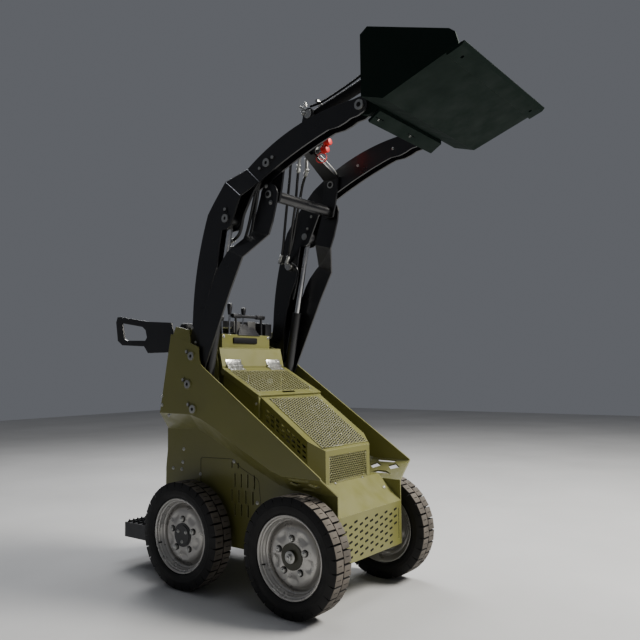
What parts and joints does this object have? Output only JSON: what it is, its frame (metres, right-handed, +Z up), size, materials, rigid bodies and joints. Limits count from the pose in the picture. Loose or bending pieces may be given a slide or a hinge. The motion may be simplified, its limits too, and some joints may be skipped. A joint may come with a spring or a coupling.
{
  "type": "mini skid steer loader",
  "caption": "Stand-on mini skid steer loader on four wheels, with raised self-levelling arms, a curled bucket, a rear platform and a hinged engine lid.",
  "frame": {"origin": "on the ground under the middle of the overall box", "axes": "+X forward to the bucket, +Y to the machine's left, +Z up"},
  "size_m": [2.3592, 0.914, 2.7249],
  "materials": {
    "olive_paint": "semi-gloss olive drab paint",
    "black_paint": "satin black paint",
    "bucket_paint": "satin black paint with a green tinge",
    "rim_silver": "silver wheel paint",
    "tyre_rubber": "dusty tread",
    "bright_steel": "polished rod",
    "pin_steel": "zinc plated",
    "cast_block": "plain engine block",
    "black_plastic": "grained black",
    "cap_red": "red dust caps",
    "pad_rubber": "soft black"
  },
  "bodies": {
    "chassis": {"side_shell_left": "olive_paint", "side_shell_right": "olive_paint", "tub": "olive_paint", "tower_inner_plates": "olive_paint", "tower_pins": "pin_steel", "wheel_motors": "black_paint", "engine_block": "cast_block", "engine_mounts": "black_paint", "hood": "olive_paint", "radiator_grilles": "olive_paint", "lid_hinges": "pin_steel", "hinge_panel": "olive_paint", "console": "olive_paint", "dash_cowl": "black_plastic", "control_levers": "black_plastic", "thigh_pad": "pad_rubber", "side_guards": "black_paint", "operator_platform": "black_paint"},
    "arm": {"lift_arm_left": "black_paint", "lift_arm_right": "black_paint", "arm_pins": "pin_steel"},
    "level_link": {"level_links": "black_paint"},
    "coupler": {"level_coupler": "black_paint", "coupler_fittings": "pin_steel", "coupler_caps": "cap_red"},
    "tilt_pin": {"tilt_rear_pin": "pin_steel"},
    "lift_barrel": {"lift_barrels": "black_paint"},
    "lift_rod": {"lift_rods": "bright_steel"},
    "tilt_barrel_body": {"tilt_barrel": "black_paint"},
    "tilt_rod_body": {"tilt_rod": "bright_steel"},
    "nose_carrier": {"nose_pins": "pin_steel"},
    "attachment": {"quick_attach": "bucket_paint", "bucket": "bucket_paint", "cutting_edge": "bucket_paint"},
    "lid": {"engine_lid": "olive_paint"},
    "wheel_front_left": {"tyre_front_left": "tyre_rubber", "rim_front_left": "rim_silver", "hub_front_left": "olive_paint"},
    "wheel_front_right": {"tyre_front_right": "tyre_rubber", "rim_front_right": "rim_silver", "hub_front_right": "olive_paint"},
    "wheel_rear_left": {"tyre_rear_left": "tyre_rubber", "rim_rear_left": "rim_silver", "hub_rear_left": "olive_paint"},
    "wheel_rear_right": {"tyre_rear_right": "tyre_rubber", "rim_rear_right": "rim_silver", "hub_rear_right": "olive_paint"}
  },
  "joints": [
    {"name": "arm_lift", "type": "hinge", "parent": "chassis", "child": "arm", "pos_m": [-0.463, 0, 1.226], "axis": [0, 1, 0], "range_deg": [0, 92]},
    {"name": "bucket_tilt", "type": "hinge", "parent": "nose_carrier", "child": "attachment", "pos_m": [0.582, 0, 2.369], "axis": [0, 1, 0], "range_deg": [-5, 60]},
    {"name": "lid_hinge", "type": "hinge", "parent": "chassis", "child": "lid", "pos_m": [-0.3776, 0, 1.1704], "axis": [0, -1, 0], "range_deg": [0, 70]},
    {"name": "link_swing", "type": "hinge", "parent": "chassis", "child": "level_link", "pos_m": [-0.491, 0, 1.076], "axis": [0, 1, 0], "range_deg": [0, 92]},
    {"name": "coupler_level", "type": "hinge", "parent": "arm", "child": "coupler", "pos_m": [0.005, 0, 2.207], "axis": [0, 1, 0], "range_deg": [-92, 0]},
    {"name": "tilt_pin_turn", "type": "hinge", "parent": "coupler", "child": "tilt_pin", "pos_m": [0.065, 0, 2.529], "axis": [0, 1, 0], "range_deg": [0, 92]},
    {"name": "nose_level", "type": "hinge", "parent": "arm", "child": "nose_carrier", "pos_m": [0.582, 0, 2.369], "axis": [0, 1, 0], "range_deg": [-92, 0]},
    {"name": "lift_barrel_swing", "type": "hinge", "parent": "chassis", "child": "lift_barrel", "pos_m": [-0.451, 0, 0.944], "axis": [0, 1, 0], "range_deg": [0, 75.36]},
    {"name": "lift_rod_slide", "type": "slide", "parent": "lift_barrel", "child": "lift_rod", "axis": [0.2063, 0, 0.9785], "range_m": [-0.3239, 0]},
    {"name": "tilt_barrel_swing", "type": "hinge", "parent": "tilt_pin", "child": "tilt_barrel_body", "pos_m": [0.065, 0, 2.529], "axis": [0, 1, 0], "range_deg": [-1.51, 17.55]},
    {"name": "tilt_rod_slide", "type": "slide", "parent": "tilt_barrel_body", "child": "tilt_rod_body", "axis": [0.9628, 0, 0.2703], "range_m": [-0.0195, 0.2286]},
    {"name": "wheel_front_left_spin", "type": "hinge", "parent": "chassis", "child": "wheel_front_left", "pos_m": [0.23, 0.391, 0.28], "axis": [0, 1, 0], "continuous": true},
    {"name": "wheel_front_right_spin", "type": "hinge", "parent": "chassis", "child": "wheel_front_right", "pos_m": [0.23, -0.391, 0.28], "axis": [0, 1, 0], "continuous": true},
    {"name": "wheel_rear_left_spin", "type": "hinge", "parent": "chassis", "child": "wheel_rear_left", "pos_m": [-0.52, 0.391, 0.28], "axis": [0, 1, 0], "continuous": true},
    {"name": "wheel_rear_right_spin", "type": "hinge", "parent": "chassis", "child": "wheel_rear_right", "pos_m": [-0.52, -0.391, 0.28], "axis": [0, 1, 0], "continuous": true}
  ],
  "couplings": [
    {"joint": "link_swing", "follows": "arm_lift", "ratio": 1},
    {"joint": "coupler_level", "follows": "arm_lift", "ratio": -1},
    {"joint": "tilt_pin_turn", "follows": "arm_lift", "ratio": 1},
    {"joint": "nose_level", "follows": "arm_lift", "ratio": -1},
    {"joint": "lift_barrel_swing", "follows": "arm_lift", "ratio": 0.81856},
    {"joint": "lift_rod_slide", "follows": "arm_lift", "m_per_rad": -0.2014},
    {"joint": "tilt_barrel_swing", "follows": "bucket_tilt", "ratio": 0.29167},
    {"joint": "tilt_rod_slide", "follows": "bucket_tilt", "m_per_rad": 0.21784}
  ]
}
